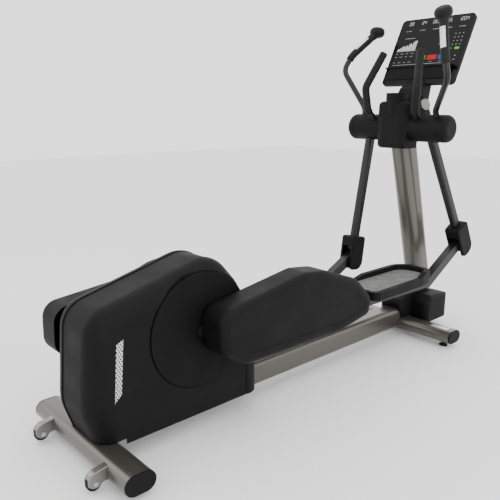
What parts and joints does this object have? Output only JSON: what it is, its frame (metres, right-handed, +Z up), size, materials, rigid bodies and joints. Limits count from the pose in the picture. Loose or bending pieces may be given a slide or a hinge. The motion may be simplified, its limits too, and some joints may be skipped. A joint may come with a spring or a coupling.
{
  "type": "elliptical trainer",
  "caption": "Rear-drive elliptical trainer with moving and fixed handlebars, pedal arms on a covered crank, mast and console.",
  "frame": {"origin": "on the floor, at the middle of the machine's length and width", "axes": "+X the user's right, +Y the way the user faces, +Z up"},
  "size_m": [0.722, 2.2385, 1.6168],
  "materials": {
    "frame_paint": "satin metallic",
    "cast_bracket": "satin metallic",
    "black_plastic": "satin",
    "disc_plastic": "satin",
    "bare_steel": "machined",
    "cast_aluminium": "cast",
    "flywheel_iron": "turned",
    "belt_rubber": "matte",
    "silver_trim": "satin silver",
    "black_steel": "satin powder coat",
    "console_glass": "gloss",
    "grip_rubber": "matte",
    "tread_rubber": "ribbed matte",
    "wheel_rubber": "matte",
    "foot_rubber": "matte",
    "green_key": "satin",
    "red_key": "satin",
    "blue_key": "satin"
  },
  "bodies": {
    "frame": {"rear_foot_beam": "frame_paint", "front_foot_beam": "frame_paint", "centre_beam": "frame_paint", "upright_mast": "frame_paint", "beam_end_caps": "black_plastic", "mast_base_cover": "black_plastic", "wheel_brackets": "cast_bracket", "drive_frame": "bare_steel", "crank_bearings": "bare_steel", "shroud_right": "black_plastic", "shroud_left": "black_plastic", "shroud_spine": "black_plastic", "vent_grilles": "silver_trim", "generator": "cast_aluminium", "drive_belt": "belt_rubber", "pivot_shaft": "bare_steel", "pod_cover": "black_plastic", "bottle_holder": "black_plastic", "console_neck": "black_plastic", "console_back": "black_plastic", "console_panel": "console_glass", "display_window": "console_glass", "reading_rack": "black_plastic", "fixed_handlebars": "black_steel", "fixed_grips": "grip_rubber", "fasteners": "bare_steel"},
    "crank": {"crank_shaft": "bare_steel", "crank_arms": "black_steel", "crank_discs": "disc_plastic", "drive_pulley": "cast_aluminium"},
    "flywheel": {"flywheel": "flywheel_iron"},
    "swing_arm_right": {"arm_lower_right": "black_steel", "hub_shell_right": "black_plastic", "arm_upper_right": "black_steel", "hand_grip_right": "grip_rubber", "sensor_plate_right": "silver_trim", "pivot_boot_right": "black_plastic"},
    "pedal_arm_right": {"pedal_link_right": "black_steel", "link_cover_right": "black_plastic", "pedal_tray_right": "black_plastic", "pedal_tread_right": "tread_rubber"},
    "transport_wheel_right": {"transport_wheel_right": "wheel_rubber"},
    "front_foot_right": {"front_levelling_foot_right": "foot_rubber"},
    "rear_foot_right": {"rear_levelling_foot_right": "foot_rubber"},
    "swing_arm_left": {"arm_lower_left": "black_steel", "hub_shell_left": "black_plastic", "arm_upper_left": "black_steel", "hand_grip_left": "grip_rubber", "sensor_plate_left": "silver_trim", "pivot_boot_left": "black_plastic"},
    "pedal_arm_left": {"pedal_link_left": "black_steel", "link_cover_left": "black_plastic", "pedal_tray_left": "black_plastic", "pedal_tread_left": "tread_rubber"},
    "transport_wheel_left": {"transport_wheel_left": "wheel_rubber"},
    "front_foot_left": {"front_levelling_foot_left": "foot_rubber"},
    "rear_foot_left": {"rear_levelling_foot_left": "foot_rubber"},
    "start_button": {"start_key": "green_key"},
    "stop_button": {"stop_key": "red_key"},
    "cooldown_button": {"cooldown_key": "blue_key"}
  },
  "joints": [
    {"name": "crank_turn", "type": "hinge", "parent": "frame", "child": "crank", "pos_m": [0, -0.607, 0.397], "axis": [-1, 0, 0], "range_deg": [0, 180]},
    {"name": "swing_right", "type": "hinge", "parent": "frame", "child": "swing_arm_right", "pos_m": [0.19, 0.736, 1.075], "axis": [-1, 0, 0], "range_deg": [0, 36.91]},
    {"name": "swing_left", "type": "hinge", "parent": "frame", "child": "swing_arm_left", "pos_m": [-0.19, 0.736, 1.075], "axis": [1, 0, 0], "range_deg": [0, 36.91]},
    {"name": "pedal_right", "type": "hinge", "parent": "swing_arm_right", "child": "pedal_arm_right", "pos_m": [0.19, 1.06074, 0.48668], "axis": [1, 0, 0], "range_deg": [0, 33.88]},
    {"name": "pedal_left", "type": "hinge", "parent": "swing_arm_left", "child": "pedal_arm_left", "pos_m": [-0.19, 0.64245, 0.40954], "axis": [-1, 0, 0], "range_deg": [0, 33.88]},
    {"name": "flywheel_spin", "type": "hinge", "parent": "frame", "child": "flywheel", "pos_m": [0, -0.86, 0.3], "axis": [-1, 0, 0], "range_deg": [0, 1440.1]},
    {"name": "wheel_right", "type": "hinge", "parent": "frame", "child": "transport_wheel_right", "pos_m": [0.196, -1.088, 0.035], "axis": [1, 0, 0], "continuous": true},
    {"name": "rear_foot_right_thread", "type": "slide", "parent": "frame", "child": "rear_foot_right", "axis": [0, 0, -1], "range_m": [0, 0.01]},
    {"name": "front_foot_right_thread", "type": "slide", "parent": "frame", "child": "front_foot_right", "axis": [0, 0, -1], "range_m": [0, 0.01]},
    {"name": "wheel_left", "type": "hinge", "parent": "frame", "child": "transport_wheel_left", "pos_m": [-0.196, -1.088, 0.035], "axis": [1, 0, 0], "continuous": true},
    {"name": "rear_foot_left_thread", "type": "slide", "parent": "frame", "child": "rear_foot_left", "axis": [0, 0, -1], "range_m": [0, 0.01]},
    {"name": "front_foot_left_thread", "type": "slide", "parent": "frame", "child": "front_foot_left", "axis": [0, 0, -1], "range_m": [0, 0.01]},
    {"name": "start_press", "type": "slide", "parent": "frame", "child": "start_button", "axis": [0, 0.8886, -0.4587], "range_m": [0, 0.0008], "stiffness_N_per_m": 600},
    {"name": "stop_press", "type": "slide", "parent": "frame", "child": "stop_button", "axis": [0, 0.8886, -0.4587], "range_m": [0, 0.0008], "stiffness_N_per_m": 600},
    {"name": "cooldown_press", "type": "slide", "parent": "frame", "child": "cooldown_button", "axis": [0, 0.8886, -0.4587], "range_m": [0, 0.0008], "stiffness_N_per_m": 600}
  ],
  "couplings": [
    {"joint": "swing_right", "follows": "crank_turn", "ratio": 0.205},
    {"joint": "swing_left", "follows": "crank_turn", "ratio": 0.205},
    {"joint": "pedal_right", "follows": "crank_turn", "ratio": 0.18817},
    {"joint": "pedal_left", "follows": "crank_turn", "ratio": 0.18817},
    {"joint": "flywheel_spin", "follows": "crank_turn", "ratio": 8}
  ]
}
